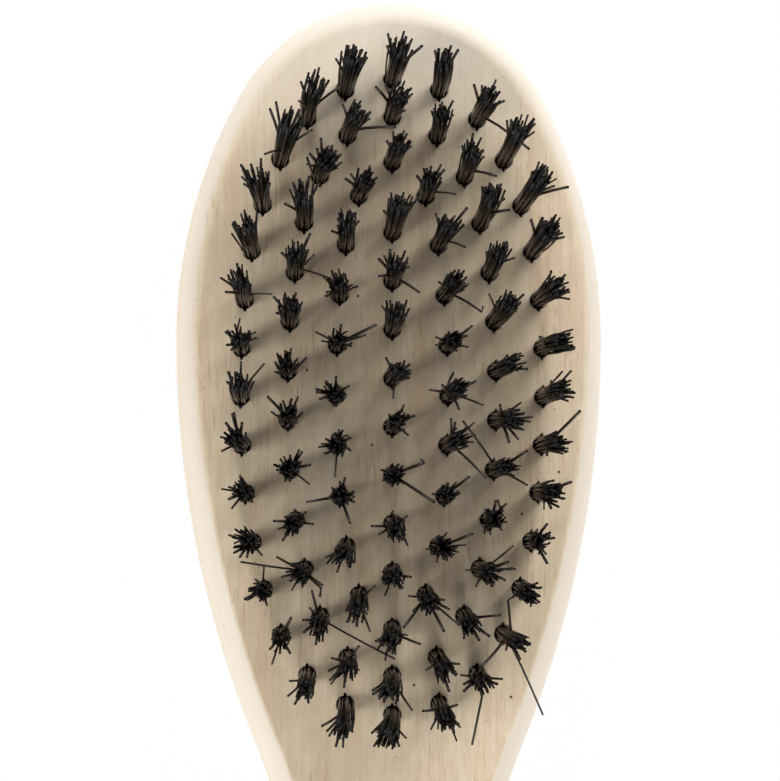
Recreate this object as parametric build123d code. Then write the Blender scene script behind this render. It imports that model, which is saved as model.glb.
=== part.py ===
from build123d import *
import os

# Sizes are in millimetres and angles in degrees. The brush lies on its flat back:
# X runs across it, +Y to the tip of the head, and +Z out of the bristle face.

# Lengths along the wooden body, from the tip of the head to the end of the handle
tip_to_widest = 47.5
widest_to_neck = 89.5
neck_to_grip = 50
grip_to_end = 28

# Widths and thicknesses of the wooden body
head_width = 60
neck_width = 25
grip_width = 29
head_thickness = 16
grip_thickness = 13

# Radii of the plan at the tip of the head and at the end of the handle
tip_radius = 24
end_radius = 13

# Where the plan turns from bulging to hollow, over the way from one width to the next
shoulder_turn_share = 0.64
grip_turn_share = 0.5

# The face is flat under the tufts and then eases down to the thinner handle
flat_face_length = 114
face_drop_length = 30

# Bevel round the face and the back, and the radius that eases its outer ridge
edge_bevel = 2.8
edge_easing = 2

# Hanging hole at the end of the handle, with its mouths eased
hang_hole_radius = 2.5
hang_hole_inset = 12
hang_hole_chamfer = 0.8

# Bristle field: its centre, how far its outer ring lies inside the edge, and its reach down the head
field_centre_from_tip = 54.7
field_side_inset = 8.6
field_tip_inset = 10.7
field_grip_reach = 45.6

# How many tufts stand in each ring, and its width and reach over those of the outer ring
outer_ring_tuft_count = 32
second_ring_tuft_count = 26
third_ring_tuft_count = 20
ring_width_shares = {"outer_ring": 1, "second_ring": 0.69, "third_ring": 0.37}
ring_reach_shares = {"outer_ring": 1, "second_ring": 0.88, "third_ring": 0.735}
ring_end_fullness_share = 0.5
ring_tip_side_share = 0.77
ring_grip_side_share = 0.78

# The row of tufts down the middle of the rings
centre_row_tuft_count = 8
centre_row_tip_share = 0.51
centre_row_grip_share = 0.56

# How many neighbouring tufts make one node
ring_node_tuft_count = 2
centre_row_node_tuft_count = 1

# The holes fan out: all their axes meet at one point behind the face
fan_centre_from_tip = 76
fan_depth = 230

# Drilled tuft holes and the packed root of each tuft, both drawn with flat sides
tuft_hole_radius = 1.25
tuft_hole_depth = 8.5
tuft_hole_sides = 6
root_clearance = 0.05
root_proud = 0.6

# Strands that spread from the root of each tuft
strand_count = 5
strand_sides = 3
strand_radius = 0.45
strand_circle_radius = 0.72
strand_sink = 0.3
bristle_length = 14
tuft_spread = 0.9
strand_length_shares = (1, 0.92, 0.97, 0.88, 0.95)
tuft_turn = 137.5

# Metal anchors, each driven over the fold of its tuft, flat along the grain
anchor_thickness = 0.35
anchor_height = 1.8
anchor_bite = 0.4
anchor_clearance = 0.05
fold_thickness = 0.6

# How far a cutting tool runs past the surface that it opens
overrun = 1

# A normal with less than this share of its length along Z counts as level
level_share = 0.01

# The three rings by name, from the edge of the field inwards
ring_tuft_counts = {
    "outer_ring": outer_ring_tuft_count,
    "second_ring": second_ring_tuft_count,
    "third_ring": third_ring_tuft_count,
}

# Places worked out from the sizes above
overall_length = tip_to_widest + widest_to_neck + neck_to_grip + grip_to_end
tip_y = overall_length / 2
end_y = -overall_length / 2
widest_y = tip_y - tip_to_widest
neck_y = widest_y - widest_to_neck
grip_y = neck_y - neck_to_grip
field_centre_y = tip_y - field_centre_from_tip
field_half_width = head_width / 2 - field_side_inset
field_tip_reach = field_centre_from_tip - field_tip_inset
fan_centre_y = tip_y - fan_centre_from_tip
root_radius = tuft_hole_radius - root_clearance


def rounded_end(half_width, start_y, end_y, radius):
    """The right side of an end of the plan: a long arc from the widest place, then a tighter one."""
    way = 1 if end_y > start_y else -1
    straight = abs(end_y - start_y) - radius
    side_radius = (half_width**2 + straight**2 - radius**2) / (half_width - radius) / 2
    between_centres = side_radius - radius
    join_x = radius * (side_radius - half_width) / between_centres
    join_y = start_y + way * straight * side_radius / between_centres
    side = TangentArc((half_width, start_y), (join_x, join_y), tangent=(0, way))
    end = TangentArc((0, end_y), (join_x, join_y), tangent=(1, 0))
    return [side, end]


def turning_side(start, end, turn_share):
    """A side of the plan that turns from one width to another in two arcs, along Y at both ends."""
    turn = start + (end - start) * turn_share
    return [TangentArc(start, turn, tangent=(0, -1)), TangentArc(end, turn, tangent=(0, 1))]


def plan_blank():
    """The plan outline, as thick as the head."""
    head, neck, grip = head_width / 2, neck_width / 2, grip_width / 2
    shoulder = turning_side(Vector(head, widest_y), Vector(neck, neck_y), shoulder_turn_share)
    handle = turning_side(Vector(neck, neck_y), Vector(grip, grip_y), grip_turn_share)
    right = [
        *rounded_end(head, widest_y, tip_y, tip_radius),
        *shoulder,
        *handle,
        *rounded_end(grip, grip_y, end_y, end_radius),
    ]
    left = [mirror(edge, Plane.YZ).edge() for edge in right]
    return extrude(make_face([*right, *left]), head_thickness)


def side_blank():
    """The side outline, wider than the head: flat back, flat face, then the drop to the handle."""
    front_y, rear_y = tip_y + overrun, end_y - overrun
    drop_start = Vector(0, tip_y - flat_face_length, head_thickness)
    drop_end = Vector(0, drop_start.Y - face_drop_length, grip_thickness)
    drop_middle = (drop_start + drop_end) / 2
    drop_top = TangentArc(drop_start, drop_middle, tangent=(0, -1, 0))
    drop_foot = TangentArc(drop_end, drop_middle, tangent=(0, 1, 0))
    rest = Polyline(
        drop_end,
        (0, rear_y, grip_thickness),
        (0, rear_y, 0),
        (0, front_y, 0),
        (0, front_y, head_thickness),
        drop_start,
    )
    profile = make_face([drop_top, drop_foot, *rest.edges()])
    reach = head_width / 2 + overrun
    return Pos(-reach, 0, 0) * extrude(profile, reach * 2, dir=(1, 0, 0))


def shaped_blank():
    """The body before drilling: bevelled round its face and back, and eased below each bevel."""
    blank = plan_blank() & side_blank()
    bevelled = chamfer(blank.edges().filter_by(GeomType.LINE, reverse=True), edge_bevel)
    sides = bevelled.faces().filter_by(stands_upright)
    ridges = [edge for side in sides for edge in side.edges().filter_by(Axis.Z, reverse=True)]
    return fillet(ridges, edge_easing)


def stands_upright(face):
    """Whether a face is part of the upright side of the body."""
    return abs(face.normal_at().Z) < level_share


def hanging_hole():
    """What the drill and countersinks take out for the hanging hole, standing on the back at the origin."""
    mouth_radius = hang_hole_radius + hang_hole_chamfer + overrun
    outline = Polyline(
        (0, -overrun),
        (mouth_radius, -overrun),
        (hang_hole_radius, hang_hole_chamfer),
        (hang_hole_radius, grip_thickness - hang_hole_chamfer),
        (mouth_radius, grip_thickness + overrun),
        (0, grip_thickness + overrun),
        close=True,
    )
    return revolve(make_face(Plane.XZ * outline), Axis.Z)


def upright_prism(radius, bottom, height):
    """A prism with the sides of a tuft hole, two of them facing along X."""
    section = Rot(0, 0, 180 / tuft_hole_sides) * RegularPolygon(radius, tuft_hole_sides)
    return extrude(Pos(0, 0, bottom) * section, height)


def wooden_body():
    """The one piece of wood, with a blind hole for each tuft."""
    drill = upright_prism(tuft_hole_radius, -tuft_hole_depth, tuft_hole_depth + overrun)
    holes = [plane * drill for plane in all_tuft_planes()]
    return shaped_blank() - [Pos(0, end_y + hang_hole_inset, 0) * hanging_hole(), *holes]


def lean_at(x, y):
    """The direction of a hole that leaves the face at a place."""
    return Vector(x, y - fan_centre_y, fan_depth).normalized()


def tuft_plane(x, y):
    """The plane across a hole at the face: its Z leads out of the hole and its X runs across the grain."""
    return Plane(origin=(x, y, head_thickness), x_dir=(1, 0, 0), z_dir=lean_at(x, y))


def ring_side(name):
    """The right half of the closed line that a ring of tufts stands on, from its tip to its grip end."""
    wide = field_half_width * ring_width_shares[name]
    tip_reach = field_tip_reach * ring_reach_shares[name]
    grip_reach = field_grip_reach * ring_reach_shares[name]
    tip_side = Bezier(
        (0, field_centre_y + tip_reach),
        (wide * ring_end_fullness_share, field_centre_y + tip_reach),
        (wide, field_centre_y + tip_reach * ring_tip_side_share),
        (wide, field_centre_y),
    )
    grip_side = Bezier(
        (wide, field_centre_y),
        (wide, field_centre_y - grip_reach * ring_grip_side_share),
        (wide * ring_end_fullness_share, field_centre_y - grip_reach),
        (0, field_centre_y - grip_reach),
    )
    return Wire([tip_side, grip_side])


def ring_planes(name):
    """The planes of one ring's tufts, evenly spaced, clockwise from the tip."""
    side = ring_side(name)
    half_count = ring_tuft_counts[name] // 2
    right = [side.position_at(step / half_count) for step in range(half_count + 1)]
    left = [Vector(-place.X, place.Y) for place in reversed(right[1:-1])]
    return [tuft_plane(place.X, place.Y) for place in right + left]


def centre_row_planes():
    """The planes of the middle row's tufts, evenly spaced from the tip."""
    first_y = field_centre_y + field_tip_reach * centre_row_tip_share
    last_y = field_centre_y - field_grip_reach * centre_row_grip_share
    pitch = (first_y - last_y) / (centre_row_tuft_count - 1)
    return [tuft_plane(0, first_y - pitch * step) for step in range(centre_row_tuft_count)]


def all_tuft_planes():
    """Every tuft's plane, ring by ring, and then the centre row."""
    rings = [plane for name in ring_tuft_counts for plane in ring_planes(name)]
    return rings + centre_row_planes()


def anchor(clearance=0):
    """One anchor, on edge across the fold of its bundle with both ends in the wood, or its gap there."""
    width = (tuft_hole_radius + anchor_bite) * 2
    thickness = anchor_thickness + clearance * 2
    height = anchor_height + clearance * 2
    slip = Box(thickness, width, height, align=(Align.CENTER, Align.CENTER, Align.MIN))
    return Pos(0, 0, fold_thickness - clearance - tuft_hole_depth) * slip


def strand(turn, tip_height):
    """One strand of a tuft, leaning outwards, with its foot sunk in the root."""
    foot_height = root_proud - strand_sink
    foot = Pos(strand_circle_radius, 0, foot_height) * RegularPolygon(strand_radius, strand_sides)
    run = Vector(tuft_spread, 0, tip_height - foot_height)
    return Rot(0, 0, turn) * extrude(foot, run.length, dir=run)


def tuft(number):
    """One tuft: its root in the hole and its fanned strands, turned a little further for each number."""
    root = upright_prism(root_radius, -tuft_hole_depth, tuft_hole_depth + root_proud)
    first_turn = number * tuft_turn
    strands = []
    for place in range(strand_count):
        share = strand_length_shares[(place + number) % len(strand_length_shares)]
        turn = first_turn + place * 360 / strand_count
        strands.append(strand(turn, bristle_length * share))
    return (root + strands) - anchor(anchor_clearance)


def save(name, *shapes):
    """Write one node, as one solid or as a group of separate ones."""
    shape = shapes[0] if len(shapes) == 1 else Compound(list(shapes))
    export_step(shape, f"parts/{name}.step")


def save_row(row, planes, node_tuft_count, node_name):
    """Write one ring or row: its tufts, a few neighbours to a node, and all its anchors."""
    tufts = [plane * tuft(number) for number, plane in enumerate(planes)]
    for first in range(0, len(tufts), node_tuft_count):
        node_number = first // node_tuft_count + 1
        save(f"{row}_{node_name}_{node_number:02d}", *tufts[first : first + node_tuft_count])
    save(f"{row}_anchors", *[plane * anchor() for plane in planes])


os.makedirs("parts", exist_ok=True)
save("wooden_body", wooden_body())
for ring in ring_tuft_counts:
    save_row(ring, ring_planes(ring), ring_node_tuft_count, "tufts")
save_row("centre_row", centre_row_planes(), centre_row_node_tuft_count, "tuft")
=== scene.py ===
import math
import random
import bmesh
import bpy
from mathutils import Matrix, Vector
from mathutils.geometry import delaunay_2d_cdt


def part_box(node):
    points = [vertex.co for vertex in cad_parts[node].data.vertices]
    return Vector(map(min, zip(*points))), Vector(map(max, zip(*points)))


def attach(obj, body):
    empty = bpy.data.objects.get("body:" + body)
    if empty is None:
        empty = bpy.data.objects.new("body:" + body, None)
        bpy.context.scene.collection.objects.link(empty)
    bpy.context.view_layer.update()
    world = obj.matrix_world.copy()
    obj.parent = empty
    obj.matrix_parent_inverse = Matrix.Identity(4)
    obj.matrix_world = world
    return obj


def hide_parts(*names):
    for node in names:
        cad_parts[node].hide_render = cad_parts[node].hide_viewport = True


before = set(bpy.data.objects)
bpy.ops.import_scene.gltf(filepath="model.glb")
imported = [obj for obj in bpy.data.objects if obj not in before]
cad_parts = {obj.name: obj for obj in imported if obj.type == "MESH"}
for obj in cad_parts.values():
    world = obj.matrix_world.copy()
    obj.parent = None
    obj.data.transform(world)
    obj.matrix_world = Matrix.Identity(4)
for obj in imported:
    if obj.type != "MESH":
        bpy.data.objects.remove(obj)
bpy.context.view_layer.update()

# Lengths are in metres, in the frame of the solids: the brush lies on its back, X runs across it,
# +Y to the tip of its head and +Z out of its bristle face.
mm = 0.001
half = 0.5

# Plan of the wooden body, in the sizes of its solid
body_low, body_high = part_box("wooden_body")
tip_y, end_y = body_high.y, body_low.y
head_half_width = body_high.x
face_z = body_high.z
tip_to_widest = 47.5 * mm
widest_to_neck = 89.5 * mm
neck_to_grip = 50 * mm
neck_width = 25 * mm
grip_width = 29 * mm
tip_radius = 24 * mm
end_radius = 13 * mm
shoulder_turn_share = 0.64
grip_turn_share = 0.5
plan_step = 1.2 * mm

# The drop of its face to the thinner handle
flat_face_length = 114 * mm
face_drop_length = 30 * mm
grip_thickness = 13 * mm

# Its eased edges: a quarter round at the tip, and a crisper bevel that bulges a little from the middle down
edge_round_width = 2.8 * mm
edge_flat_width = 0.25 * mm
edge_step_count = 8
soft_edge_turns = (math.radians(0), math.radians(88))
crisp_edge_turns = (math.radians(28), math.radians(61))
soft_edge_y = 80 * mm
crisp_edge_y = 20 * mm

# Where a painted highlight starts to make its wood paler towards the tip, and where it is palest
tip_highlight_from = 85 * mm
tip_highlight_to = 105 * mm
tip_highlight_share = 0.7

# Painted highlight on its edges: how level the wood is where it starts and is full, from flat and from side
highlight_from_flat, full_highlight_from_flat = 0.985, 0.85
highlight_from_side, full_highlight_from_side = 0.05, 0.4
edge_highlight_share = 0.8
side_highlight_share = 0.2

# Patterns in its wood: how wide, how long and how deep one feature of each is
wood_band_size = (5 * mm, 60 * mm, 5 * mm)
wood_mottle_size = (1.6 * mm, 3 * mm, 1.6 * mm)
# The pores of beech are finer than these grain lines, which are drawn as coarse as they need to show
wood_line_size = (0.45 * mm, 14 * mm, 0.45 * mm)
wood_line_depth = 0.04 * mm
wood_blush_size = (2.5 * mm, 30 * mm, 2.5 * mm)
wood_fleck_size = (0.22 * mm, 1.3 * mm, 0.22 * mm)
wood_vein_size = (0.55 * mm, 6 * mm, 0.55 * mm)
veined_patch_size = (6 * mm, 14 * mm, 6 * mm)
wood_speck_size = (0.4 * mm, 0.5 * mm, 0.4 * mm)

# Hanging hole
hang_hole_radius = 2.5 * mm
hang_hole_inset = 12 * mm
hang_hole_chamfer = 0.8 * mm
hang_hole_sides = 48

# Tuft holes, with the notches that the anchors cut as they were driven in
tuft_hole_radius = 1.25 * mm
tuft_hole_depth = 8.5 * mm
tuft_hole_half_steps = 10
rim_easing = 0.12 * mm
notch_width = 0.45 * mm
notch_reach = 0.4 * mm
notch_shoulder_share = 0.5

# The wood's mesh: how near two corners are one, from what turn an edge stays sharp, which triangles stay
merge_distance = 0.002 * mm
sharp_edge_turn = math.radians(35)
inside_the_outlines = 1

# Bristle field
field_centre_from_tip = 54.7 * mm
field_side_inset = 8.6 * mm
field_tip_inset = 10.7 * mm
field_grip_reach = 45.6 * mm
fan_centre_from_tip = 76 * mm
fan_depth = 230 * mm
field_centre_y = tip_y - field_centre_from_tip
field_half_width = head_half_width - field_side_inset
field_tip_reach = field_centre_from_tip - field_tip_inset
fan_centre_y = tip_y - fan_centre_from_tip

# Rings of tufts: how many tufts, and the width and reach as shares of the outer ring's
ring_tuft_counts = {"outer_ring": 32, "second_ring": 26, "third_ring": 20}
ring_width_shares = {"outer_ring": 1, "second_ring": 0.69, "third_ring": 0.37}
ring_reach_shares = {"outer_ring": 1, "second_ring": 0.88, "third_ring": 0.735}
ring_end_fullness_share = 0.5
ring_tip_side_share = 0.77
ring_grip_side_share = 0.78
centre_row_tuft_count = 8
centre_row_tip_share = 0.51
centre_row_grip_share = 0.56
ring_piece_tuft_count = 2
centre_row_piece_tuft_count = 1
curve_step_count = 400

# Patterns in the fibres, the steel of the anchors and the paper of the floor
fibre_streak_size = (0.3 * mm, 0.3 * mm, 7 * mm)
loose_streak_size = (0.3 * mm, 0.3 * mm, 4 * mm)
# Real pores, drawing lines and paper fibres are finer, and are drawn as coarse as they need to show
fibre_pore_size = (0.1 * mm, 0.1 * mm, 0.1 * mm)
drawing_line_size = (0.1 * mm, 2 * mm, 0.1 * mm)
drawing_line_depth = 0.02 * mm
paper_pulp_size = (0.4 * mm, 0.4 * mm, 0.4 * mm)

# Fibres of one tuft
fibre_count = 36
fibre_sides = 6
fibre_radius = 0.16 * mm
fibre_radius_scatter = 0.03 * mm
bundle_radius = 1.09 * mm
root_depth = 5.5 * mm
fibre_length = 13.8 * mm
fibre_length_scatter = 0.5 * mm
short_fibre_share = 0.2
short_fibre_loss = 2.5 * mm
tip_spread_share = 1.3
tip_scatter = 0.2 * mm
bow_scatter = 0.12 * mm
clump_count = 4
clump_scatter = 0.2 * mm
splayed_fibre_share = 0.16
splay = 0.6 * mm
golden_turn = math.radians(137.5)
# How far up each bend of a fibre is, and how much of its lean it has there
bend_shares = ((0, 0), (0.35, 0.2), (0.7, 0.58), (1, 1))

# Heights over the back: a tuft's top, the highest fibre end, and where painted shade darkens fibres to their
# ends
tuft_top = 29.4 * mm
highest_fibre_end = 30.5 * mm
painted_shade_from = 20 * mm
painted_shade_to = 26 * mm

# Loose fibres that leave the tufts
loose_fibre_radius = 0.185 * mm
loose_radius_scatter = 0.04 * mm
loose_fibre_length = 14.5 * mm
least_loose_rise = 4 * mm
loose_start_share = 0.35
loose_steps = 5
bend_length_share = 0.6
level_search_rounds = 4

# The picture in pixels, and where the camera stood over the bristle face
picture_width_px = 780
picture_height_px = 781
camera_distance = 600 * mm
camera_from_left = math.radians(4.7)
aim_from_tip = 54.6 * mm
aim_height = 12 * mm
camera_aim = Vector((0, tip_y - aim_from_tip, aim_height))

# The camera's lens and sensor, in millimetres
lens_length = 194.8
sensor_width = 36

# Where the middle of each tuft's cut ends is in the picture, clockwise from the tip or down the row
tuft_tips_px = {
    "outer_ring": (
        (402, 46), (445, 57), (492, 94), (521, 127), (542, 175), (551, 227), (560, 285), (562, 341),
        (563, 390), (561, 441), (556, 492), (541, 539), (531, 594), (522, 645), (481, 684), (445, 722),
        (388, 738), (344, 731), (304, 691), (281, 641), (259, 592), (245, 542), (243, 491), (234, 436),
        (239, 380), (239, 335), (240, 279), (246, 226), (257, 174), (292, 120), (316, 82), (354, 54),
    ),
    "second_ring": (
        (401, 92), (441, 113), (473, 149), (492, 192), (500, 250), (509, 303), (513, 363), (516, 420),
        (509, 467), (496, 517), (494, 573), (471, 625), (444, 672), (391, 692), (346, 672), (317, 627),
        (298, 576), (294, 525), (291, 466), (290, 413), (287, 361), (290, 304), (297, 251), (302, 192),
        (329, 155), (359, 111),
    ),
    "third_ring": (
        (400, 141), (431, 178), (450, 223), (459, 280), (454, 339), (460, 387), (461, 437), (447, 494),
        (444, 548), (428, 604), (391, 643), (356, 612), (342, 559), (341, 496), (338, 445), (334, 390),
        (340, 339), (340, 282), (348, 220), (366, 179),
    ),
    "centre_row": (
        (399, 202), (396, 262), (396, 311), (401, 370), (399, 419), (394, 474), (396, 532), (392, 579),
    ),
}

# Where the ends of loose fibres are in the picture, one line to a tuft in the same order
loose_ends_px = {
    "outer_ring": (
        ((388, 34), (387, 46), (395, 39), (406, 37), (411, 41), (422, 46), (414, 52)),
        ((435, 51), (446, 49), (451, 46), (458, 50)),
        ((482, 86), (496, 80), (504, 101), (474, 85), (529, 149)),
        ((507, 121), (511, 120), (534, 119), (535, 124), (534, 132)),
        ((532, 172), (539, 162), (556, 179), (554, 186), (568, 187)),
        ((531, 220), (552, 218), (562, 233), (564, 237)),
        ((551, 271), (565, 275), (569, 292), (569, 299)),
        ((540, 337), (568, 335), (574, 349)),
        ((571, 371), (551, 381), (568, 401)),
        ((580, 411), (566, 452), (547, 455)),
        ((571, 482), (544, 509), (551, 508), (563, 499)),
        ((547, 524), (554, 538), (546, 554), (547, 563)),
        ((537, 583), (539, 602), (521, 582)),
        ((543, 715), (481, 667), (520, 659), (506, 650)),
        ((461, 675), (464, 684), (464, 691), (502, 679), (497, 684)),
        ((423, 711), (459, 724), (454, 730), (431, 729), (457, 705)),
        ((373, 732), (374, 746), (406, 738), (399, 746)),
        ((322, 726), (327, 731), (336, 746), (343, 747), (329, 736)),
        ((290, 681), (288, 696), (295, 704), (312, 692)),
        ((272, 664), (291, 618), (290, 653), (270, 649), (280, 653)),
        ((264, 567), (245, 599), (249, 590), (267, 605)),
        ((229, 535), (240, 557), (247, 557), (262, 555)),
        ((222, 489), (229, 499), (232, 508), (240, 476), (229, 487)),
        ((232, 414), (234, 413), (226, 423), (242, 423), (222, 451), (221, 437)),
        ((241, 362), (264, 364), (227, 382)),
        ((235, 325), (226, 332), (227, 345), (231, 350), (256, 338)),
        ((237, 264), (242, 265), (221, 278), (226, 292), (229, 279), (272, 294)),
        ((241, 214), (236, 227), (242, 249)),
        ((241, 165), (261, 159), (242, 177), (244, 184)),
        ((270, 109), (276, 102), (290, 110), (299, 110), (312, 130), (265, 154)),
        ((301, 82), (299, 101), (319, 68), (326, 84), (341, 86)),
        ((336, 59), (342, 57), (347, 46), (356, 47), (362, 50)),
    ),
    "second_ring": (
        ((376, 87), (386, 86), (412, 94)),
        ((434, 109), (442, 105), (453, 101), (453, 115)),
        ((462, 146), (473, 134), (481, 138), (483, 151), (484, 157), (496, 176)),
        ((482, 187), (491, 184), (501, 184), (504, 199), (509, 210)),
        ((490, 247), (507, 243), (514, 258)),
        ((489, 294), (497, 302), (511, 292), (516, 303), (516, 311)),
        ((507, 356), (520, 356), (527, 369)),
        ((509, 409), (532, 417), (509, 442), (518, 439), (500, 405)),
        ((463, 421), (527, 451), (527, 485), (519, 469)),
        ((496, 501), (506, 504), (506, 522), (502, 530), (490, 534)),
        ((513, 546), (508, 562), (515, 569), (505, 580), (492, 586), (476, 586), (466, 570)),
        ((500, 615), (489, 636), (479, 640), (464, 638)),
        ((459, 664), (457, 674), (449, 691), (426, 670)),
        ((373, 694), (379, 696), (384, 702), (412, 710)),
        ((332, 658), (330, 680), (331, 684), (359, 670), (344, 687), (359, 646)),
        ((312, 591), (395, 659), (316, 644), (329, 615), (303, 620), (304, 632), (310, 608)),
        ((241, 562), (277, 557), (292, 590), (282, 577), (322, 585)),
        ((274, 521), (313, 524), (306, 512), (286, 516), (283, 540), (279, 529)),
        ((299, 450), (302, 452), (284, 457), (310, 465), (277, 470), (309, 484)),
        ((268, 397), (283, 401), (298, 397)),
        ((285, 351), (291, 349)),
        ((274, 297), (285, 293), (296, 293), (277, 313)),
        ((282, 253), (294, 243), (310, 234), (334, 280)),
        ((285, 204), (295, 186), (300, 179), (309, 177), (319, 183)),
        ((310, 154), (317, 149), (307, 164), (321, 139), (332, 146), (336, 151)),
        ((343, 105), (370, 112), (395, 127)),
    ),
    "third_ring": (
        ((387, 141), (393, 132), (404, 131), (407, 134)),
        ((417, 176), (427, 169), (431, 167), (441, 165), (444, 170), (455, 194)),
        ((436, 214), (455, 216), (467, 208), (465, 247)),
        ((439, 282), (445, 286), (459, 270), (464, 271)),
        ((472, 326), (436, 337), (436, 345), (465, 336), (468, 347)),
        ((430, 390), (483, 405), (459, 409), (442, 385), (472, 383)),
        ((451, 419), (455, 423), (474, 423), (473, 442), (475, 435), (486, 478)),
        ((469, 477), (448, 483), (433, 494), (456, 483)),
        ((472, 534), (465, 545), (458, 552), (437, 562), (447, 560), (427, 549)),
        ((409, 596), (413, 611), (449, 609), (444, 600), (444, 631), (459, 625), (404, 627)),
        ((420, 644), (376, 641), (385, 660), (407, 635), (392, 622)),
        ((375, 586), (370, 631), (347, 622), (357, 626), (367, 614)),
        ((326, 557), (330, 557), (337, 572), (332, 563)),
        ((307, 502), (345, 478), (340, 482), (350, 523), (354, 502)),
        ((319, 447), (322, 444), (326, 439), (339, 430), (350, 438), (335, 476)),
        ((316, 389), (317, 392), (320, 399), (349, 386), (326, 381), (336, 377)),
        ((316, 332), (322, 341), (341, 325), (365, 335), (376, 325)),
        ((332, 271), (344, 275), (324, 277), (352, 285), (327, 292), (326, 296)),
        ((341, 209), (354, 213), (359, 221), (332, 231), (338, 219)),
        ((346, 179), (351, 174), (370, 166)),
    ),
    "centre_row": (
        ((384, 211), (391, 193), (402, 197)),
        ((379, 259), (384, 256), (390, 250), (379, 276), (409, 267), (419, 292)),
        ((382, 306), (390, 301), (399, 302), (406, 316)),
        ((393, 398), (386, 358)),
        ((404, 405), (408, 435), (414, 416)),
        ((424, 462), (434, 502)),
        ((372, 526), (379, 534), (393, 511), (407, 516), (402, 540)),
        ((411, 577), (383, 583)),
    ),
}

# Where dark specks in the wood are in the picture, and how large each one is
speck_marks_px = ((358, 296), (307, 370), (372, 445), (511, 697), (414, 685), (522, 514), (559, 472))
speck_radius = 0.26 * mm
speck_core_radius = 0.14 * mm

# Where sharply bent fibres turn and end in the picture, by ring and by the tuft's place from the tip
bent_fibres_px = (
    ("outer_ring", 12, (508, 600), (511, 631)),
    ("outer_ring", 14, (482, 697), (472, 745)),
    ("second_ring", 16, (321, 588), (320, 597)),
    ("third_ring", 3, (482, 312), (483, 306)),
    ("centre_row", 5, (424, 463), (421, 459)),
)

# Floor, and how much of its own shading plain white hides from the camera
floor_width = 6000 * mm
floor_gap = 0.05 * mm
floor_white_share = 0.97

# Light from all round, straight from above and from the sides, and the softboxes' places
overhead_light = 0.02
level_light = 0.97
lamp_distance = 900 * mm
softbox_width = 460 * mm

# Softboxes: how far each is turned from X and lifted from the floor in degrees, and its power in watts
softboxes = {
    "right_softbox": (52, 30, 6),
    "left_softbox": (203, 32, 4.7),
    "tip_softbox": (97, 28, 2.9),
    "foot_softbox": (278, 20, 5),
}


def linear(hex_colour):
    """A colour written as sRGB hex, as the linear colour that a shader takes."""
    colour = []
    for place in (1, 3, 5):
        level = int(hex_colour[place:place + 2], 16) / 255
        colour.append(level / 12.92 if level <= 0.04045 else ((level + 0.055) / 1.055) ** 2.4)
    return (*colour, 1)


def add_node(tree, kind, inputs=None, **settings):
    """Adds a node with its settings. Each input is a value, or another node's output to link."""
    node = tree.nodes.new(kind)
    for name, value in settings.items():
        setattr(node, name, value)
    for name, value in (inputs or {}).items():
        socket = node.inputs[name]
        if not socket.enabled:
            socket = next(other for other in node.inputs if other.enabled and other.name == name)
        if isinstance(value, bpy.types.NodeSocket):
            tree.links.new(value, socket)
        else:
            socket.default_value = value
    return next((socket for socket in node.outputs if socket.enabled), None)


def new_material(name):
    """An empty material, with its node tree."""
    material = bpy.data.materials.new(name)
    material.use_nodes = True
    material.node_tree.nodes.clear()
    return material, material.node_tree


def pattern(tree, size, lowest=0, highest=1, most=1, detail=2, waviness=0):
    """How strongly a pattern with features of this size shows at a place, from 0 to its most."""
    texture_place = tree.nodes.new("ShaderNodeTexCoord").outputs["Object"]
    scale = [1 / length for length in size]
    place = add_node(tree, "ShaderNodeMapping", {"Vector": texture_place, "Scale": scale})
    form = {"Vector": place, "Scale": 1, "Detail": detail, "Distortion": waviness}
    noise = add_node(tree, "ShaderNodeTexNoise", form)
    steps = {"Value": noise, "From Min": lowest, "From Max": highest, "To Max": most}
    return add_node(tree, "ShaderNodeMapRange", steps)


def tint(tree, share, under, over):
    """A colour laid over another by a share."""
    return add_node(tree, "ShaderNodeMix", {"Factor": share, "A": under, "B": over}, data_type="RGBA")


def finish(tree, surface):
    """Makes the material's surface from a shader's values."""
    shader = add_node(tree, "ShaderNodeBsdfPrincipled", surface)
    add_node(tree, "ShaderNodeOutputMaterial", {"Surface": shader})


def part_of(tree, vector, axis):
    """A place's or a direction's part along one axis."""
    parts = tree.nodes.new("ShaderNodeSeparateXYZ")
    tree.links.new(vector, parts.inputs["Vector"])
    return parts.outputs[axis]


def specked(tree, colour):
    """A wood colour with small round dark specks at their own places on the bristle face."""
    texture_place = tree.nodes.new("ShaderNodeTexCoord").outputs["Object"]
    for pixel in speck_marks_px:
        places = {0: texture_place, 1: picture_place(pixel, face_z)}
        away = add_node(tree, "ShaderNodeVectorMath", places, operation="DISTANCE")
        steps = {"Value": away, "From Min": speck_radius, "From Max": speck_core_radius}
        colour = tint(tree, add_node(tree, "ShaderNodeMapRange", steps), colour, linear("#33241A"))
    return colour


def painted_edge_highlight(tree):
    """Painted highlight: how much paler the wood is where it turns from a flat to a side, most on the round
    edge.
    """
    upwards = part_of(tree, tree.nodes.new("ShaderNodeTexCoord").outputs["Normal"], "Z")
    levelness = add_node(tree, "ShaderNodeMath", {0: upwards}, operation="ABSOLUTE")
    off_flat = {
        "Value": levelness,
        "From Min": highlight_from_flat,
        "From Max": full_highlight_from_flat,
        "To Max": edge_highlight_share,
    }
    off_side = {
        "Value": levelness,
        "From Min": highlight_from_side,
        "From Max": full_highlight_from_side,
        "To Min": side_highlight_share,
        "To Max": edge_highlight_share,
    }
    shares = {
        0: add_node(tree, "ShaderNodeMapRange", off_flat),
        1: add_node(tree, "ShaderNodeMapRange", off_side),
    }
    return add_node(tree, "ShaderNodeMath", shares, operation="MINIMUM")


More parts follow.
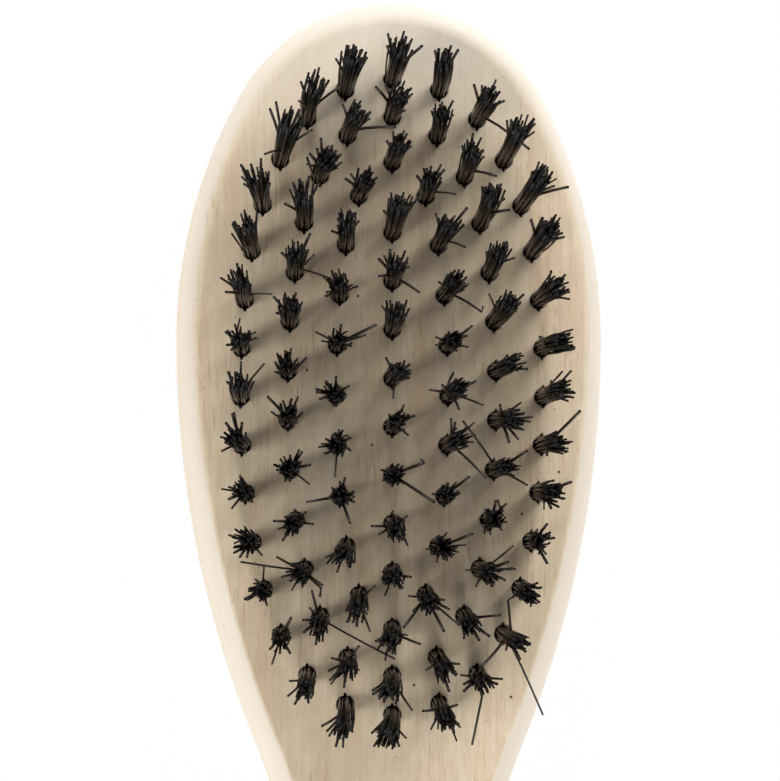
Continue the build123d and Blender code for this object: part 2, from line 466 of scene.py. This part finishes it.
def wood_ground(tree):
    """The wood's ground colour: pale bands along the brush, with a soft mottle."""
    bands = pattern(tree, wood_band_size, lowest=0.35, highest=0.65, most=0.6)
    colour = tint(tree, bands, linear("#E6D4BA"), linear("#DEC9AA"))
    mottle = pattern(tree, wood_mottle_size, lowest=0.35, highest=0.7, most=0.6)
    return tint(tree, mottle, colour, linear("#D3BF9F"))


def painted_tip_highlight(tree, colour):
    """A wood colour that turns paler and plainer towards the tip of the head: a painted highlight."""
    tipwards = part_of(tree, tree.nodes.new("ShaderNodeTexCoord").outputs["Object"], "Y")
    steps = {
        "Value": tipwards,
        "From Min": tip_highlight_from,
        "From Max": tip_highlight_to,
        "To Max": tip_highlight_share,
    }
    # Painted highlight: a pale, plain colour laid over the wood towards the tip
    return tint(tree, add_node(tree, "ShaderNodeMapRange", steps), colour, linear("#E8DFD1"))


def wood_marks(tree, colour, line):
    """The wood's marks over its ground: grain lines, pink blushes, brown flecks and veins, dark specks."""
    colour = tint(tree, line, colour, linear("#CDB692"))
    blush = pattern(tree, wood_blush_size, lowest=0.52, highest=0.78, most=0.5)
    colour = tint(tree, blush, colour, linear("#D8B698"))
    fleck = pattern(tree, wood_fleck_size, lowest=0.6, highest=0.84, most=0.32, detail=1)
    colour = tint(tree, fleck, colour, linear("#A98C69"))
    vein = pattern(tree, wood_vein_size, lowest=0.54, highest=0.7, waviness=1.2)
    veined_patch = pattern(tree, veined_patch_size, lowest=0.42, highest=0.6, most=0.5)
    vein = add_node(tree, "ShaderNodeMath", {0: vein, 1: veined_patch}, operation="MULTIPLY")
    colour = tint(tree, vein, colour, linear("#AE8B66"))
    speck = pattern(tree, wood_speck_size, lowest=0.865, highest=0.875, most=0.8, detail=0)
    colour = tint(tree, speck, colour, linear("#6B5443"))
    return specked(tree, colour)


def beech_wood():
    """Beech, sanded but not varnished: pale and matt, fine grain along the brush, painted highlights on edges
    and tip.
    """
    material, tree = new_material("sanded_beech")
    line = pattern(tree, wood_line_size, lowest=0.36, highest=0.7, most=0.45, detail=3)
    colour = painted_tip_highlight(tree, wood_marks(tree, wood_ground(tree), line))
    relief = {"Height": line, "Strength": 0.2, "Distance": wood_line_depth}
    finish(tree, {
        # Painted highlight: the edges and sides are tinted towards a pale grey-beige
        "Base Color": tint(tree, painted_edge_highlight(tree), colour, linear("#DFD5C7")),
        "Roughness": 0.6,
        "IOR": 1.5,
        "Sheen Weight": 0.12,
        "Sheen Roughness": 0.5,
        "Normal": add_node(tree, "ShaderNodeBump", relief),
    })
    return material


def palm_fibre():
    """Stiff dark palm fibre: nearly black and waxy, its grey streaks partly a painted reflection of the pale
    wood.
    """
    material, tree = new_material("dark_palm_fibre")
    # Grey-brown streaks: partly the fibres' own tone, partly a painted reflection of the pale wood
    streaks = pattern(tree, fibre_streak_size, lowest=0.35, highest=0.65)
    colour = tint(tree, streaks, linear("#0E0A07"), linear("#4F3D2C"))
    height = part_of(tree, tree.nodes.new("ShaderNodeTexCoord").outputs["Object"], "Z")
    # Painted shade: the fibres are darkened towards their ends by height
    steps = {"Value": height, "From Min": painted_shade_from, "From Max": painted_shade_to}
    endwards = add_node(tree, "ShaderNodeMapRange", steps)
    roughness = {"Value": endwards, "To Min": 0.22, "To Max": 0.65}
    finish(tree, {
        "Base Color": tint(tree, endwards, colour, linear("#0D0A08")),
        "Roughness": add_node(tree, "ShaderNodeMapRange", roughness),
        "IOR": 1.5,
        "Specular IOR Level": 0.35,
    })
    return material


def loose_fibre():
    """Palm fibre that stands out in the light: dark brown, with no painted shade at its ends, and a slight
    shine. Palm fibre that stands out in the light: a dark brown instead of black, with a slight shine.
    """
    material, tree = new_material("brown_palm_fibre")
    streaks = pattern(tree, loose_streak_size, lowest=0.35, highest=0.65)
    colour = tint(tree, streaks, linear("#150E09"), linear("#2E2015"))
    finish(tree, {"Base Color": colour, "Roughness": 0.6, "IOR": 1.45})
    return material


def cut_fibre():
    """The cut ends of the fibres: open, matt and black, with no shine."""
    material, tree = new_material("cut_fibre_end")
    colour = tint(tree, pattern(tree, fibre_pore_size), linear("#090706"), linear("#15100C"))
    finish(tree, {"Base Color": colour, "Roughness": 0.9, "IOR": 1.3})
    return material


def drawn_steel():
    """Flat steel wire, drawn and cut: grey metal with fine lines along the drawing."""
    material, tree = new_material("drawn_steel")
    lines = pattern(tree, drawing_line_size)
    colour = tint(tree, lines, linear("#8E9093"), linear("#B9BBBD"))
    relief = {"Height": lines, "Strength": 0.2, "Distance": drawing_line_depth}
    relief = add_node(tree, "ShaderNodeBump", relief)
    finish(tree, {"Base Color": colour, "Metallic": 1, "Roughness": 0.38, "Normal": relief})
    return material


def seen_straight(tree):
    """1 where the camera sees a surface itself, in a gloss or through glass, and 0 elsewhere."""
    path = tree.nodes.new("ShaderNodeLightPath").outputs
    rays = {0: path["Is Camera Ray"], 1: path["Is Glossy Ray"]}
    straight = add_node(tree, "ShaderNodeMath", rays, operation="MAXIMUM")
    rays = {0: straight, 1: path["Is Transmission Ray"]}
    return add_node(tree, "ShaderNodeMath", rays, operation="MAXIMUM")


def white_paper():
    """Matt white paper, a plain white to the camera that still takes the brush's shadow."""
    material, tree = new_material("white_paper")
    colour = tint(tree, pattern(tree, paper_pulp_size), linear("#F4F4F4"), linear("#F8F8F8"))
    paper = add_node(tree, "ShaderNodeBsdfPrincipled", {"Base Color": colour, "Roughness": 0.9})
    white = add_node(tree, "ShaderNodeEmission", {"Color": (1, 1, 1, 1), "Strength": 1})
    shares = {0: seen_straight(tree), 1: floor_white_share}
    share = add_node(tree, "ShaderNodeMath", shares, operation="MULTIPLY")
    surface = add_node(tree, "ShaderNodeMixShader", {0: share, 1: paper, 2: white})
    add_node(tree, "ShaderNodeOutputMaterial", {"Surface": surface})
    return material


def add_piece(name, vertices, faces, *materials):
    """A new mesh object with its materials."""
    mesh = bpy.data.meshes.new(name)
    mesh.from_pydata(vertices, [], faces)
    for material in materials:
        mesh.materials.append(material)
    piece = bpy.data.objects.new(name, mesh)
    bpy.context.scene.collection.objects.link(piece)
    return piece


def weld(mesh):
    """Joins the parts of a closed mesh and turns its faces outwards, smooth but for its sharp edges."""
    shape = bmesh.new()
    shape.from_mesh(mesh)
    bmesh.ops.remove_doubles(shape, verts=shape.verts, dist=merge_distance)
    bmesh.ops.recalc_face_normals(shape, faces=shape.faces)
    shape.to_mesh(mesh)
    shape.free()
    mesh.shade_smooth()
    mesh.set_sharp_from_angle(angle=sharp_edge_turn)


def arc(centre, start, end):
    """Places along an arc of the plan, all but the last, each with the way out of the wood there."""
    radius = (start - centre).length
    outward = -1 if centre.x > start.x else 1
    first, last = [math.atan2(place.y - centre.y, place.x - centre.x) for place in (start, end)]
    turn = (last - first + math.pi) % math.tau - math.pi
    step_count = math.ceil(abs(turn) * radius / plan_step)
    spokes = []
    for step in range(step_count):
        angle = first + turn * step / step_count
        spokes.append(Vector((math.cos(angle), math.sin(angle))))
    return [(centre + spoke * radius, spoke * outward) for spoke in spokes]


def rounded_end(widest, end, radius):
    """An end of the plan: its long arc's centre, where its arcs join, and its tight arc's centre."""
    way = 1 if end.y > widest.y else -1
    straight = abs(end.y - widest.y) - radius
    side_radius = (widest.x**2 + straight**2 - radius**2) / (widest.x - radius) / 2
    between_centres = side_radius - radius
    join_x = radius * (side_radius - widest.x) / between_centres
    join_y = widest.y + way * straight * side_radius / between_centres
    side_centre = Vector((widest.x - side_radius, widest.y))
    return side_centre, Vector((join_x, join_y)), end - Vector((0, way * radius))


def level_centre(start, other):
    """The centre of an arc that starts along the brush and ends at another place."""
    away = (other - start).length_squared / (other.x - start.x) / 2
    return start + Vector((away, 0))


def turning_side(start, end, turn_share):
    """A side of the plan that turns from one width to another in two arcs, along the brush at both ends."""
    turn = start.lerp(end, turn_share)
    return arc(level_centre(start, turn), start, turn) + arc(level_centre(end, turn), turn, end)


def plan_outline():
    """The outline of the body from its tip, clockwise: places, each with the way out of the wood there."""
    tip, end = Vector((0, tip_y)), Vector((0, end_y))
    widest = Vector((head_half_width, tip_y - tip_to_widest))
    neck = Vector((neck_width * half, widest.y - widest_to_neck))
    grip = Vector((grip_width * half, neck.y - neck_to_grip))
    side_centre, join, tip_centre = rounded_end(widest, tip, tip_radius)
    right = arc(tip_centre, tip, join) + arc(side_centre, join, widest)
    right += turning_side(widest, neck, shoulder_turn_share) + turning_side(neck, grip, grip_turn_share)
    side_centre, join, end_centre = rounded_end(grip, end, end_radius)
    right += arc(side_centre, grip, join) + arc(end_centre, join, end)
    left = [(Vector((-place.x, place.y)), Vector((-out.x, out.y))) for place, out in reversed(right[1:])]
    return right + [(end, Vector((0, -1)))] + left


def face_height(y):
    """How high the bristle face is: flat on the head, then down to the handle in two arcs."""
    run = tip_y - flat_face_length - y
    drop = face_z - grip_thickness
    half_run, half_drop = face_drop_length * half, drop * half
    radius = (half_run**2 + half_drop**2) / half_drop / 2
    if run <= 0:
        return face_z
    if run >= face_drop_length:
        return grip_thickness
    if run <= half_run:
        return face_z - radius + math.sqrt(radius**2 - run**2)
    return grip_thickness + radius - math.sqrt(radius**2 - (face_drop_length - run)**2)


def edge_section(y):
    """The rounded edge's section near a place: how far in and how far down each of its points is."""
    share = min(max((soft_edge_y - y) / (soft_edge_y - crisp_edge_y), 0), 1)
    first, last = [soft + (crisp - soft) * share for soft, crisp in zip(soft_edge_turns, crisp_edge_turns)]
    radius = edge_round_width / (math.cos(first) - math.cos(last))
    section = []
    for step in range(edge_step_count + 1):
        turn = first + (last - first) * step / edge_step_count
        inset = radius * (math.cos(first) - math.cos(turn))
        section.append((inset, radius * (math.sin(last) - math.sin(turn))))
    return section + [(edge_round_width + edge_flat_width, 0)]


def edge_rings(outline):
    """Rings of places round the body, from the edge of its back's flat to the edge of its face's flat."""
    sections = [edge_section(place.y) for place, _ in outline]
    back_rings, face_rings = [], []
    for level in range(edge_step_count + 2):
        back_ring, face_ring = [], []
        for (place, out), section in zip(outline, sections):
            inset, drop = section[level]
            spot = place - out * inset
            back_ring.append(Vector((spot.x, spot.y, drop)))
            face_ring.append(Vector((spot.x, spot.y, face_height(spot.y) - drop)))
        back_rings.insert(0, back_ring)
        face_rings.append(face_ring)
    return back_rings + face_rings


def add_band(vertices, faces, rings):
    """Adds the quads between closed rings that have the same number of places."""
    first, count = len(vertices), len(rings[0])
    for ring in rings:
        vertices.extend(ring)
    for low in range(first, len(vertices) - count, count):
        for corner in range(count):
            beside = (corner + 1) % count
            faces.append((low + corner, low + beside, low + count + beside, low + count + corner))


def add_flat(vertices, faces, outlines, crossings, height):
    """Adds the face or back inside the first outline, open where the other outlines are."""
    places, loops = [], []
    for outline in outlines:
        loops.append(list(range(len(places), len(places) + len(outline))))
        places.extend(Vector((place.x, place.y)) for place in outline)
    triangulation = delaunay_2d_cdt(places, crossings, loops, inside_the_outlines, merge_distance)
    spots, _, triangles, _, _, sources = triangulation
    first = len(vertices)
    vertices.extend(Vector((spot.x, spot.y, height(spot.y))) for spot in spots)
    for corners, source in zip(triangles, sources):
        if source == [0]:
            faces.append([first + corner for corner in corners])


def hang_hole_rings():
    """Rings of places down the hanging hole, from its mouth in the face to its mouth in the back."""
    mouth_radius = hang_hole_radius + hang_hole_chamfer
    levels = [
        (mouth_radius, grip_thickness),
        (hang_hole_radius, grip_thickness - hang_hole_chamfer),
        (hang_hole_radius, hang_hole_chamfer),
        (mouth_radius, 0),
    ]
    rings = []
    for radius, height in levels:
        turns = [math.tau * side / hang_hole_sides for side in range(hang_hole_sides)]
        middle = Vector((0, end_y + hang_hole_inset, height))
        rings.append([middle + Vector((math.cos(turn), math.sin(turn), 0)) * radius for turn in turns])
    return rings


def hole_section():
    """A tuft hole seen along its axis, anticlockwise: round, with the anchor's notch at its two ends."""
    notch_half_turn = math.asin(notch_width * half / tuft_hole_radius)
    turn_reach = math.pi - notch_half_turn * 2
    side = []
    for step in range(tuft_hole_half_steps + 1):
        turn = notch_half_turn - math.pi * half + turn_reach * step / tuft_hole_half_steps
        side.append(Vector((math.cos(turn), math.sin(turn))) * tuft_hole_radius)
    shoulder = tuft_hole_radius + notch_reach * notch_shoulder_share
    side.append(Vector((notch_width * half, shoulder)))
    side.append(Vector((0, tuft_hole_radius + notch_reach)))
    side.append(Vector((-notch_width * half, shoulder)))
    return side + [-place for place in side]


def hole_axes(place):
    """The directions at a hole: across it, along the brush, and out of it along its fanned axis."""
    out = Vector((place.x, place.y - fan_centre_y, fan_depth)).normalized()
    along = out.cross(Vector((1, 0, 0))).normalized()
    return along.cross(out), along, out


def tuft_hole_rings(place):
    """Rings of places down a tuft hole, from its eased rim in the face to its bottom."""
    across, along, out = hole_axes(place)
    mouth = Vector((place.x, place.y, face_z))
    section = hole_section()
    rim_share = 1 + rim_easing / tuft_hole_radius
    rings = []
    for share, depth in ((rim_share, 0), (1, rim_easing)):
        ring = [mouth + (across * spot.x + along * spot.y) * share for spot in section]
        rings.append([corner - out * ((corner.z - face_z + depth) / out.z) for corner in ring])
    rings.append([mouth + across * spot.x + along * spot.y - out * tuft_hole_depth for spot in section])
    return rings


def drop_crossings(outline):
    """Edges straight across the face where it drops, by the numbers of the outline's places at their ends."""
    drop_top = tip_y - flat_face_length
    drop_foot = drop_top - face_drop_length
    last = len(outline) - 1
    crossings = []
    for corner, (place, _) in enumerate(outline):
        if place.x > 0 and drop_foot < place.y < drop_top:
            crossings.append((last - corner, corner - 1))
    return crossings


def wooden_body(hole_places, material):
    """The wooden body: rounded edges, open tuft holes and the hanging hole."""
    vertices, faces = [], []
    outline = plan_outline()
    rings = edge_rings(outline)
    add_band(vertices, faces, rings)
    hang_rings = hang_hole_rings()
    add_band(vertices, faces, hang_rings)
    tuft_rims = []
    for place in hole_places:
        hole_rings = tuft_hole_rings(place)
        tuft_rims.append(hole_rings[0])
        add_band(vertices, faces, hole_rings)
        faces.append(list(range(len(vertices) - len(hole_rings[-1]), len(vertices))))
    face_outlines = [rings[-1][::-1], hang_rings[0], *tuft_rims]
    add_flat(vertices, faces, face_outlines, drop_crossings(outline), face_height)
    add_flat(vertices, faces, [rings[0][::-1], hang_rings[-1]], [], lambda y: 0)
    body = add_piece("beech_body", vertices, faces, material)
    weld(body.data)
    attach(body, "root")
    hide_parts("wooden_body")


def bezier_place(corners, share):
    """The place at a share of the way along a cubic Bezier curve."""
    first, second, third, last = corners
    rest = 1 - share
    start = first * rest**3 + second * 3 * rest**2 * share
    return start + third * 3 * rest * share**2 + last * share**3


def ring_side(name):
    """Closely spaced places along the right half of a ring, from its tip to its grip end."""
    wide = field_half_width * ring_width_shares[name]
    tip_reach = field_tip_reach * ring_reach_shares[name]
    grip_reach = field_grip_reach * ring_reach_shares[name]
    middle = Vector((0, field_centre_y))
    tip_side = [
        middle + Vector((0, tip_reach)),
        middle + Vector((wide * ring_end_fullness_share, tip_reach)),
        middle + Vector((wide, tip_reach * ring_tip_side_share)),
        middle + Vector((wide, 0)),
    ]
    grip_side = [
        middle + Vector((wide, 0)),
        middle + Vector((wide, -grip_reach * ring_grip_side_share)),
        middle + Vector((wide * ring_end_fullness_share, -grip_reach)),
        middle + Vector((0, -grip_reach)),
    ]
    shares = [step / curve_step_count for step in range(curve_step_count + 1)]
    return [bezier_place(side, share) for side in (tip_side, grip_side) for share in shares]


def even_places(line, count):
    """Places at even distances along a line, both of its ends among them."""
    lengths = [0]
    for here, there in zip(line, line[1:]):
        lengths.append(lengths[-1] + (there - here).length)
    step = lengths[-1] / (count - 1)
    places = []
    for number in range(count):
        nearest = min(range(len(line)), key=lambda spot: abs(lengths[spot] - step * number))
        places.append(line[nearest])
    return places


def ring_places(name):
    """Where the tufts of a ring leave the face, clockwise from the tip."""
    right = even_places(ring_side(name), ring_tuft_counts[name] // 2 + 1)
    left = [Vector((-place.x, place.y)) for place in reversed(right[1:-1])]
    return right + left


def centre_row_places():
    """Where the tufts of the middle row leave the face, from the tip."""
    first_y = field_centre_y + field_tip_reach * centre_row_tip_share
    last_y = field_centre_y - field_grip_reach * centre_row_grip_share
    pitch = (first_y - last_y) / (centre_row_tuft_count - 1)
    return [Vector((0, first_y - pitch * number)) for number in range(centre_row_tuft_count)]


def picture_place(pixel, height):
    """The place at a height that the camera sees at a pixel."""
    back = Vector((-math.sin(camera_from_left), 0, math.cos(camera_from_left)))
    across = Vector((math.cos(camera_from_left), 0, math.sin(camera_from_left)))
    camera = camera_aim + back * camera_distance
    focal_px = lens_length / sensor_width * picture_height_px
    right, up = pixel[0] - picture_width_px * half, picture_height_px * half - pixel[1]
    ray = across * right + Vector((0, 1, 0)) * up - back * focal_px
    return camera + ray * ((height - camera.z) / ray.z)


def add_fibre(vertices, faces, path, radius):
    """Adds a round fibre along a path, its far end cut flat."""
    first = len(vertices)
    run = path[-1] - path[0]
    level_way = Vector((0, 1, 0)) if abs(run.y) < abs(run.x) else Vector((1, 0, 0))
    for number, place in enumerate(path):
        before, after = path[max(number - 1, 0)], path[min(number + 1, len(path) - 1)]
        way = (after - before).normalized()
        side = way.cross(level_way).normalized()
        other = side.cross(way)
        for corner in range(fibre_sides):
            turn = math.tau * corner / fibre_sides
            vertices.append(place + (side * math.cos(turn) + other * math.sin(turn)) * radius)
    for low in range(first, len(vertices) - fibre_sides, fibre_sides):
        high = low + fibre_sides
        for corner in range(fibre_sides):
            beside = (corner + 1) % fibre_sides
            faces.append((low + corner, low + beside, high + beside, high + corner))
    faces.append(tuple(range(len(vertices) - fibre_sides, len(vertices))))


def scattered(chance, scatter):
    """A short way in any direction across a tuft."""
    return Vector((chance.gauss(0, scatter), chance.gauss(0, scatter)))


def fibre_root(turn, number):
    """Where a fibre of a tuft stands in its hole, from the hole's axis."""
    reach = bundle_radius * math.sqrt((number + half) / fibre_count)
    return Vector((math.cos(turn), math.sin(turn))) * reach


def fibre_tip(chance, root, clump_way):
    """How far the end of a fibre stands from the axis of its tuft, over its root, and how long it is."""
    tip = root * tip_spread_share + clump_way
    tip += scattered(chance, splay if chance.random() < splayed_fibre_share else tip_scatter)
    length = chance.gauss(fibre_length, fibre_length_scatter)
    if chance.random() < short_fibre_share:
        length -= chance.uniform(0, short_fibre_loss)
    return tip, length


def add_tuft(vertices, faces, place, tip_px, chance):
    """Adds one tuft: fibres packed in the hole that spread and lean as they rise to the tuft's top."""
    across, along, out = hole_axes(place)
    foot = Vector((place.x, place.y, face_z))
    lean = picture_place(tip_px, tuft_top) - foot - out * ((tuft_top - face_z) / out.z)
    clump_ways = [scattered(chance, clump_scatter) for _ in range(clump_count)]
    clump_turn = chance.uniform(0, math.tau)
    for number in range(fibre_count):
        turn = number * golden_turn
        root = fibre_root(turn, number)
        clump = int((turn + clump_turn) % math.tau / math.tau * clump_count)
        tip, length = fibre_tip(chance, root, clump_ways[clump])
        bow = scattered(chance, bow_scatter)
        height = math.sqrt(max(length**2 - (tip - root).length**2 - lean.length**2, (length * half)**2))
        height = min(height, (highest_fibre_end - face_z) / out.z)
        path = [foot + across * root.x + along * root.y - out * root_depth]
        for height_share, bend_share in bend_shares:
            spot = root.lerp(tip, bend_share) + bow * math.sin(math.pi * height_share)
            way = out * height * height_share + lean * bend_share
            path.append(foot + across * spot.x + along * spot.y + way)
        radius = fibre_radius + chance.uniform(-fibre_radius_scatter, fibre_radius_scatter)
        add_fibre(vertices, faces, path, radius)


def loose_end(foot, pixel, length):
    """Where a fibre of this length ends that the camera sees at a pixel."""
    end = picture_place(pixel, highest_fibre_end)
    for _ in range(level_search_rounds):
        level = (end - foot).xy.length
        rise = math.sqrt(max(length**2 - level**2, least_loose_rise**2))
        end = picture_place(pixel, min(face_z + rise, highest_fibre_end))
    return end


def loose_path(place, tip_px, end):
    """A curve out of a tuft's hole, along its tuft and then away to its own end."""
    out = hole_axes(place)[2]
    foot = Vector((place.x, place.y, face_z))
    tuft_way = (picture_place(tip_px, tuft_top) - foot).normalized()
    turn = foot + tuft_way * loose_fibre_length * loose_start_share
    path = [foot - out * root_depth]
    for step in range(loose_steps + 1):
        share = step / loose_steps
        path.append(foot.lerp(turn, share).lerp(turn.lerp(end, share), share))
    return path


def add_loose_fibres(vertices, faces, row, number, place, chance):
    """Adds the fibres of one tuft that stand away from the rest, straight and bent."""
    foot = Vector((place.x, place.y, face_z))
    tip_px = tuft_tips_px[row][number]
    for pixel in loose_ends_px[row][number]:
        end = loose_end(foot, pixel, loose_fibre_length)
        radius = loose_fibre_radius + chance.uniform(-loose_radius_scatter, loose_radius_scatter)
        add_fibre(vertices, faces, loose_path(place, tip_px, end), radius)
    for bent_row, bent_number, turn_px, end_px in bent_fibres_px:
        if (bent_row, bent_number) == (row, number):
            turn = loose_end(foot, turn_px, loose_fibre_length * bend_length_share)
            path = loose_path(place, tip_px, turn) + [picture_place(end_px, turn.z)]
            add_fibre(vertices, faces, path, loose_fibre_radius)


def tuft_piece(name, row, first, places, node, materials):
    """One piece of neighbouring tufts, in place of the solid of those tufts."""
    vertices, faces = [], []
    for number, place in enumerate(places, first):
        add_tuft(vertices, faces, place, tuft_tips_px[row][number], random.Random(f"{row} {number}"))
    tuft_face_count = len(faces)
    for number, place in enumerate(places, first):
        add_loose_fibres(vertices, faces, row, number, place, random.Random(f"loose {row} {number}"))
    piece = add_piece(name, vertices, faces, *materials)
    packed, cut_end, loose = range(len(materials))
    for face in piece.data.polygons:
        side = packed if face.index < tuft_face_count else loose
        face.use_smooth = len(face.vertices) < fibre_sides
        face.material_index = side if face.use_smooth else cut_end
    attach(piece, "root")
    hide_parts(node)


def tuft_row(row, places, piece_tuft_count, node_word, materials):
    """All the pieces of one ring or row."""
    for first in range(0, len(places), piece_tuft_count):
        number = first // piece_tuft_count + 1
        node = f"{row}_{node_word}_{number:02d}"
        neighbours = places[first:first + piece_tuft_count]
        tuft_piece(f"{row}_fibres_{number:02d}", row, first, neighbours, node, materials)


def add_floor():
    """The white floor under the brush, a hair below its flat back, so that they don't share a plane."""
    side, low = floor_width * half, -floor_gap
    corners = [(-side, -side, low), (side, -side, low), (side, side, low), (-side, side, low)]
    add_piece("floor", corners, [(0, 1, 2, 3)], white_paper())


def add_camera():
    """The camera, straight above the face and a little to the left of it."""
    camera = bpy.data.objects.new("camera", bpy.data.cameras.new("camera"))
    bpy.context.scene.collection.objects.link(camera)
    back = Vector((-math.sin(camera_from_left), 0, math.cos(camera_from_left)))
    camera.location = camera_aim + back * camera_distance
    camera.rotation_euler = (0, -camera_from_left, 0)
    camera.data.lens = lens_length
    camera.data.sensor_width = sensor_width
    bpy.context.scene.camera = camera


def add_lamp(name, turn, lift, power):
    """A square softbox that faces the head, by its turn from X and its lift from the floor in degrees."""
    lamp = bpy.data.objects.new(name, bpy.data.lights.new(name, "AREA"))
    bpy.context.scene.collection.objects.link(lamp)
    turn, lift = math.radians(turn), math.radians(lift)
    level = math.cos(lift)
    way = Vector((math.cos(turn) * level, math.sin(turn) * level, math.sin(lift)))
    lamp.location = camera_aim + way * lamp_distance
    lamp.rotation_euler = way.to_track_quat("Z", "Y").to_euler()
    lamp.data.size = softbox_width
    lamp.data.energy = power


def add_world():
    """White light from all round, dimmer from overhead than from the sides, and plain white to the camera."""
    world = bpy.data.worlds.new("white_room")
    bpy.context.scene.world = world
    world.use_nodes = True
    tree = world.node_tree
    tree.nodes.clear()
    height = part_of(tree, tree.nodes.new("ShaderNodeTexCoord").outputs["Generated"], "Z")
    steps = {"Value": height, "From Max": 1, "To Min": 1, "To Max": 0}
    lowness = add_node(tree, "ShaderNodeMapRange", steps)
    square = add_node(tree, "ShaderNodeMath", {0: lowness, 1: lowness}, operation="MULTIPLY")
    steps = {"Value": square, "To Min": overhead_light, "To Max": level_light}
    level = add_node(tree, "ShaderNodeMapRange", steps)
    light = add_node(tree, "ShaderNodeBackground", {"Color": (1, 1, 1, 1), "Strength": level})
    white = add_node(tree, "ShaderNodeBackground", {"Color": (1, 1, 1, 1), "Strength": 1})
    surface = add_node(tree, "ShaderNodeMixShader", {0: seen_straight(tree), 1: light, 2: white})
    add_node(tree, "ShaderNodeOutputWorld", {"Surface": surface})


wood, steel, bristle = beech_wood(), drawn_steel(), (palm_fibre(), cut_fibre(), loose_fibre())
for node_name, cad_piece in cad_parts.items():
    if node_name.endswith("_anchors"):
        cad_piece.data.materials.clear()
        cad_piece.data.materials.append(steel)
tuft_places = {ring: ring_places(ring) for ring in ring_tuft_counts}
tuft_places["centre_row"] = centre_row_places()
wooden_body([place for places in tuft_places.values() for place in places], wood)
for ring in ring_tuft_counts:
    tuft_row(ring, tuft_places[ring], ring_piece_tuft_count, "tufts", bristle)
tuft_row("centre_row", tuft_places["centre_row"], centre_row_piece_tuft_count, "tuft", bristle)
add_floor()
add_camera()
for lamp_name, (turn, lift, power) in softboxes.items():
    add_lamp(lamp_name, turn, lift, power)
add_world()
bpy.context.scene.view_settings.view_transform = "Standard"
